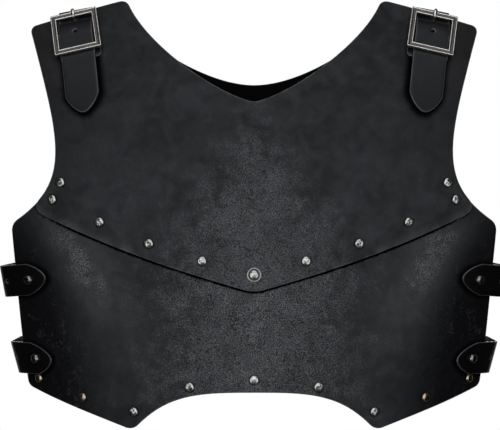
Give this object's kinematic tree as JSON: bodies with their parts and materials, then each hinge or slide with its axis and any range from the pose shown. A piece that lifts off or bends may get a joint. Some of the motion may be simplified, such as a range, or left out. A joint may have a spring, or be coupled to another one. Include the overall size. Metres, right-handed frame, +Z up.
{
  "type": "leather chest armour",
  "caption": "Leather chest armour: riveted breast plate and belly plate in front, a back plate, buckled shoulder straps and studded side straps.",
  "frame": {"origin": "midway between the two shoulders, level with the inner upper corners of the breast plate, and midway between the front and back plates' reference planes, where the armour hangs on a wearer's shoulders", "axes": "+Z up, -Y towards the front of the armour, +X to the right as seen from the front"},
  "size_m": [0.4844, 0.2499, 0.4007],
  "materials": {
    "plate_leather": "smooth, satin, black",
    "strap_leather": "smooth, satin, black, burnished edges",
    "rivet_steel": "polished, lightly worn",
    "buckle_metal": "antique silver"
  },
  "bodies": {
    "root": {"breast_plate": "plate_leather", "belly_plate": "plate_leather", "back_plate": "plate_leather", "shoulder_strap_left": "strap_leather", "shoulder_strap_right": "strap_leather", "chape_left": "strap_leather", "chape_right": "strap_leather", "side_strap_upper_left": "strap_leather", "side_strap_upper_right": "strap_leather", "side_strap_lower_left": "strap_leather", "side_strap_lower_right": "strap_leather", "buckle_left": "buckle_metal", "buckle_right": "buckle_metal", "prong_left": "buckle_metal", "prong_right": "buckle_metal", "seam_ring": "buckle_metal", "arm_rivet_left_1": "rivet_steel", "arm_rivet_left_2": "rivet_steel", "arm_rivet_right_1": "rivet_steel", "arm_rivet_right_2": "rivet_steel", "seam_rivet_1": "rivet_steel", "seam_rivet_2": "rivet_steel", "seam_rivet_3": "rivet_steel", "seam_rivet_4": "rivet_steel", "seam_rivet_5": "rivet_steel", "seam_rivet_6": "rivet_steel", "seam_rivet_7": "rivet_steel", "hem_rivet_1": "rivet_steel", "hem_rivet_2": "rivet_steel", "hem_rivet_3": "rivet_steel", "hem_rivet_4": "rivet_steel", "hem_rivet_5": "rivet_steel", "hem_rivet_6": "rivet_steel", "hem_rivet_7": "rivet_steel", "hem_rivet_8": "rivet_steel", "hem_rivet_9": "rivet_steel", "side_stud_upper_left": "rivet_steel", "side_stud_upper_right": "rivet_steel", "side_stud_lower_left": "rivet_steel", "side_stud_lower_right": "rivet_steel", "side_rivet_upper_left": "rivet_steel", "side_rivet_upper_right": "rivet_steel", "side_rivet_lower_left": "rivet_steel", "side_rivet_lower_right": "rivet_steel", "shoulder_rivet_left_1": "rivet_steel", "shoulder_rivet_left_2": "rivet_steel", "shoulder_rivet_right_1": "rivet_steel", "shoulder_rivet_right_2": "rivet_steel", "chape_rivet_left": "rivet_steel", "chape_rivet_right": "rivet_steel"}
  },
  "joints": []
}
